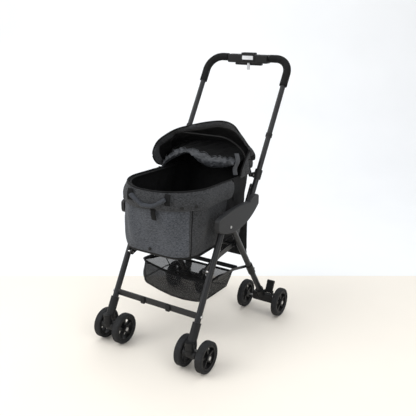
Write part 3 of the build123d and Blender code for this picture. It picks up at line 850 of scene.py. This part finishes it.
def make_hood_edge():
    edge = tube("hood_front_binding", HOOD_BOWS[0][::2], 0.0030, BINDING, sides=8)
    rear = tube("hood_rear_binding", HOOD_BOWS[3], 0.0026, BINDING, sides=8)
    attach(rear, "upper_frame")
    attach(edge, "hood")


FLAP_ROLL = 0.5                         # share of the flap that hangs before the roll starts
FLAP_TOP = [(-0.158, 0.046, 0.612), (-0.146, 0.052, 0.640), (-0.112, 0.058, 0.672), (-0.064, 0.062, 0.690),
            (0.0, 0.062, 0.687), (0.053, 0.062, 0.677), (0.104, 0.062, 0.679), (0.148, 0.075, 0.670)]
FLAP_FOOT = [(-0.156, 0.040, 0.606), (-0.140, 0.044, 0.626), (-0.100, 0.050, 0.652), (-0.045, 0.055, 0.674),
             (0.008, 0.058, 0.642), (0.055, 0.058, 0.632), (0.104, 0.056, 0.640), (0.146, 0.065, 0.652)]


def make_flap():
    """Cover flap bunched up inside the hood: black where it hangs from the roof, then a loose roll
    of paler nylon with a piped edge."""
    top, foot = (smooth_curve([at(*point) for point in line], 12) for line in (FLAP_TOP, FLAP_FOOT))
    columns = len(top)
    rows = 26
    vertices = []
    for row in range(rows):
        t = row / (rows - 1)
        for column in range(columns):
            share = column / (columns - 1)
            roof = hood_point(0.13 + 0.72 * share, 0.52) - Vector((0, 0, 0.012))
            if t < FLAP_ROLL:
                point = roof.lerp(top[column], smooth_step(t / FLAP_ROLL))
            else:
                along = (t - FLAP_ROLL) / (1 - FLAP_ROLL)
                point = top[column].lerp(foot[column], along)
                point.y -= 0.012 * sin(pi * along)
            loose = sin(pi * t) ** 0.5
            fold = wrinkle((share * 2.2, t * 0.5, 1.0), 9, 0.012 * loose, 9.1)
            fold += wrinkle((share * 2.0 + t, t * 1.6, 4.0), 17, 0.009 * loose, 2.9)
            vertices.append(point + Vector((0, -abs(fold), fold * 0.7)))
    piece = new_piece("hood_flap", vertices, grid_faces(rows, columns), [LINING, FLAP])
    for polygon in piece.data.polygons:
        polygon.material_index = 1 if polygon.index // (columns - 1) >= (rows - 1) * FLAP_ROLL else 0
    thicken(piece, 0.0012, levels=1, outward=0.0)
    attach(piece, "upper_frame")
    shown = [vertices[int((rows - 1) * FLAP_ROLL) * columns + column] for column in range(columns)]
    edge = [point + Vector((0, -0.002, 0.001)) for point in shown]
    piping = tube("flap_piping", edge, 0.0014, FLAP, sides=8)
    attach(piping, "upper_frame")
    hang = smooth_curve([at(0.150, 0.070, 0.694), at(0.158, 0.066, 0.668),
                         at(0.150, 0.060, 0.640), at(0.154, 0.058, 0.618)], 6)
    strip = strap("flap_tie", hang, (0.8, 0.6, 0), 0.016, 0.0018, FLAP)
    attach(strip, "upper_frame")


# Basket and pocket --------------------------------------------------------------------------------

BASKET_LOW, BASKET_HIGH = (Vector(corner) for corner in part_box("basket"))
RIM_RISE = 0.020
RIM_FALL = 0.022
RIM_BACK = 0.028                        # the front rim is drawn back from the bulging foot


def make_basket():
    """Net tub hung from the rails: the walls lean in and the bottom sags to the front."""
    half, front, rear = BASKET_HIGH.x - 0.001, BASKET_LOW.y, BASKET_HIGH.y
    bottom_z, rim_z = BASKET_LOW.z, BASKET_HIGH.z
    pieces = []

    def ring(level):
        inset = 0.020 * (1 - level) ** 1.3
        loop = tub_loop(half - inset, front + RIM_BACK * level, rear + 0.004, 0.030, 0.024, 0)
        points = []
        for point, out in loop:
            depth = (point.y - front) / (rear - front)
            nearness = smooth_step(1 - depth * 2.2)
            centre = max(0.0, cos((point.x - 0.035) / (half + 0.03) * pi / 2))
            rim = rim_z + RIM_RISE * (1 - depth) - RIM_FALL * depth - 0.036 * nearness * centre
            foot = bottom_z - 0.020 * centre + 0.018 * (1 - centre) - 0.006 * depth
            z = foot + (rim - foot) * level
            points.append(Vector((point.x, point.y, z)))
        return points

    rows = 10
    bottom_rows = 8
    base = ring(0)
    middle_point = Vector((0, (front + rear) / 2, bottom_z))
    vertices = []
    for row in range(bottom_rows):
        share = (row + 0.4) / bottom_rows
        for point in base:
            spot = middle_point.lerp(point, share)
            ripple = 0.003 * noise.noise(spot * 25)
            spot.z = bottom_z - 0.020 + (point.z - bottom_z + 0.020) * share ** 2 + ripple
            vertices.append(spot)
    for row in range(rows):
        for point in ring(row / (rows - 1)):
            fold = 0.008 * noise.noise(point * 20)
            vertices.append(point + Vector((fold, fold, 0)))
    columns = len(base)
    faces = grid_faces(rows + bottom_rows, columns, True)
    faces.append(tuple(range(columns)))
    net = turn_outward(new_piece("basket_net", vertices, faces, [NET]))
    thicken(net, 0.0010, levels=0, outward=0.0)
    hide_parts("basket")
    pieces.append(net)
    pieces.append(tube("basket_rim_binding", ring(1.0), 0.0038, BINDING, closed=True, flat=1.3, sides=8))
    pieces.append(tube("basket_foot_binding", ring(0.0), 0.0022, BINDING, closed=True, sides=8))
    top = ring(1.0)
    for index, x_sign, y_end in ((0, 1, front), (1, -1, front), (2, 1, rear), (3, -1, rear)):
        outer_corner = Vector((x_sign * half, y_end, rim_z))
        corner = min(range(len(top)), key=lambda i: (top[i] - outer_corner).length)
        line = [ring(level / 8)[corner] for level in range(9)]
        pieces.append(tube(f"basket_corner_seam_{index}", line, 0.0020, BINDING, sides=8))
    for piece in pieces:
        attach(piece, "front_legs")
        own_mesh(piece)


def make_pocket():
    """Padded rear pocket: a crowned panel with a bound edge and a zip tape across its top."""
    lo, hi = (Vector(corner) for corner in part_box("rear_pocket"))
    size = hi - lo
    rows, columns = 22, 30
    vertices = []
    for side in (-1, 1):
        for row in range(rows):
            for column in range(columns):
                u, v = column / (columns - 1), row / (rows - 1)
                pinch = (4 * u * (1 - u)) ** 0.35 * (4 * v * (1 - v)) ** 0.35
                depth = size.y / 2 * (0.25 + 0.75 * pinch) * 0.92
                x = lo.x + size.x * u
                z = lo.z + size.z * v
                y = (lo.y + hi.y) / 2 + side * depth
                y += wrinkle((x, z, side), 24, 0.003 * pinch, 6.1)
                vertices.append(Vector((x, y, z)))
    sheet = rows * columns
    faces = grid_faces(rows, columns)
    faces += [tuple(sheet + i for i in face[::-1]) for face in grid_faces(rows, columns)]
    border = [c for c in range(columns)] + [r * columns + columns - 1 for r in range(1, rows)]
    border += [(rows - 1) * columns + c for c in range(columns - 2, -1, -1)]
    border += [r * columns for r in range(rows - 2, 0, -1)]
    for index, first in enumerate(border):
        second = border[(index + 1) % len(border)]
        faces.append((first, second, sheet + second, sheet + first))
    piece = turn_outward(new_piece("rear_pocket_panel", vertices, faces, [SIDE_NYLON]))
    piece.modifiers.new("round", "SUBSURF").levels = 1
    settle(piece)
    edge = [lo, Vector((hi.x, lo.y, lo.z)), Vector((hi.x, lo.y, hi.z)), Vector((lo.x, lo.y, hi.z))]
    loop = []
    for index, corner in enumerate(edge):
        after = edge[(index + 1) % 4]
        loop += [corner.lerp(after, share) for share in (0.04, 0.35, 0.65, 0.96)]
    for point in loop:
        point.y = (lo.y + hi.y) / 2
    bound = smooth_curve(loop + loop[:1], 4)[:-1]
    binding = tube("pocket_binding", bound, 0.0026, BINDING, closed=True, sides=8)
    zip_z = hi.z - 0.030
    zip_line = [Vector((lo.x + 0.016 + (size.x - 0.032) * step / 12, hi.y - 0.0005, zip_z))
                for step in range(13)]
    zip_tape = strap("pocket_zip", zip_line, (0, 0, 1), 0.012, 0.0022, BINDING)
    for trim in (binding, zip_tape):
        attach(trim, "upper_frame")
    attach(piece, "upper_frame")
    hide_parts("rear_pocket")


# Handle plate -------------------------------------------------------------------------------------

def make_box_plate():
    """Dark bezel with a plain pale plate on the front of the handle box."""
    low_corner, high_corner = (Vector(corner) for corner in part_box("handle_box_upper"))
    face_y = low_corner.y
    centre = Vector((0.004, face_y, (low("handle_box_lower").z + high_corner.z) / 2 + 0.001))
    rounded_panel("box_bezel", centre, (0.031, 0.0125), 0.005, 0.0028, FRAME_PLASTIC)
    rounded_panel("box_plate", centre + Vector((0, -0.0026, 0)), (0.024, 0.0075), 0.002, 0.0010,
                  PLATE_PLASTIC)


def rounded_panel(name, centre, half, radius, height, material):
    """Flat panel with rounded corners that stands off a face looking towards -Y."""
    outline = []
    for turn, (side, upward) in enumerate(((1, 1), (-1, 1), (-1, -1), (1, -1))):
        for step in range(6):
            angle = radians(90 * turn + 90 * step / 5)
            outline.append(centre + Vector((side * (half[0] - radius) + radius * cos(angle), 0,
                                            upward * (half[1] - radius) + radius * sin(angle))))
    middle_point = sum(outline, Vector()) / len(outline)
    rings = [outline, [p + Vector((0, -height * 0.7, 0)) for p in outline],
             [middle_point + (p - middle_point) * 0.97 + Vector((0, -height, 0)) for p in outline]]
    count = len(outline)
    faces = grid_faces(3, count, True) + [tuple(range(count)), tuple(range(2 * count, 3 * count))[::-1]]
    panel = turn_outward(new_piece(name, sum(rings, []), faces, [material], smooth=False))
    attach(panel, "upper_frame")


# Stage --------------------------------------------------------------------------------------------

def flat_material(name, colour, roughness):
    nodes = Nodes(name)
    uneven = nodes.noise(3, 2.0)
    paler = tuple(min(1.0, c * 1.02) for c in colour)
    nodes.colour(nodes.ramp(uneven, [(0.3, colour), (0.7, paler)]))
    nodes.set(Roughness=roughness)
    return nodes.material


FLOOR_LINE = 2.50                       # where the floor meets the wall, from under the camera


def make_stage():
    """Pale floor that meets a pale sweep behind the stroller."""
    view = Vector((-sin(CAMERA_AZIMUTH), cos(CAMERA_AZIMUTH), 0))
    across = Vector((view.y, -view.x, 0))
    half_width = 9
    behind_camera = -6
    under = Vector(bpy.context.scene.camera.location)
    under.z = -0.0006
    floor = new_piece("floor", [under + across * a + view * b for a, b in
                                ((-half_width, behind_camera), (half_width, behind_camera),
                                 (half_width, FLOOR_LINE), (-half_width, FLOOR_LINE))],
                      [(0, 1, 2, 3)], [flat_material("floor_vinyl", (0.84, 0.79, 0.71), 0.6)])
    rise = [(FLOOR_LINE, 0.0), (3.6, 0.0), (4.1, 0.10), (4.5, 0.45), (4.7, 1.0), (4.8, 6.0)]
    vertices = []
    for distance, height in rise:
        for a in (-half_width, half_width):
            vertices.append(under + across * a + view * distance + Vector((0, 0, height)))
    faces = [(2 * i, 2 * i + 1, 2 * i + 3, 2 * i + 2) for i in range(len(rise) - 1)]
    wall = new_piece("backdrop", vertices, faces, [flat_material("wall_white", (0.86, 0.87, 0.88), 0.8)])


def area_light(name, location, target, size, power, colour=(1, 1, 1)):
    light = bpy.data.lights.new(name, "AREA")
    light.energy = power
    light.size = size
    light.color = colour
    piece = bpy.data.objects.new(name, light)
    piece.location = location
    piece.rotation_euler = (Vector(target) - Vector(location)).to_track_quat("-Z", "Y").to_euler()
    bpy.context.collection.objects.link(piece)


def make_lights():
    bpy.context.scene.view_settings.view_transform = "Standard"
    world = bpy.data.worlds.new("studio")
    bpy.context.scene.world = world
    world.use_nodes = True
    world.node_tree.nodes["Background"].inputs["Color"].default_value = (0.95, 0.97, 1.0, 1)
    world.node_tree.nodes["Background"].inputs["Strength"].default_value = 0.66
    area_light("key", (-1.6, -2.2, 2.6), (0, 0, 0.4), 2.4, 62)
    area_light("fill", (2.8, -1.0, 2.0), (0, 0, 0.5), 2.2, 30)
    area_light("top", (0, 0.2, 3.2), (0, 0, 0), 3.0, 36)


# Assembly -----------------------------------------------------------------------------------------

make_camera()
dress_cad_nodes()
make_cabin()
make_skirt()
make_rim()
make_grab_handle()
make_cabin_trim()
hood = make_hood()
make_hood_edge()
make_flap()
make_basket()
make_pocket()
make_box_plate()
make_stage()
make_lights()
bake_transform(hood)
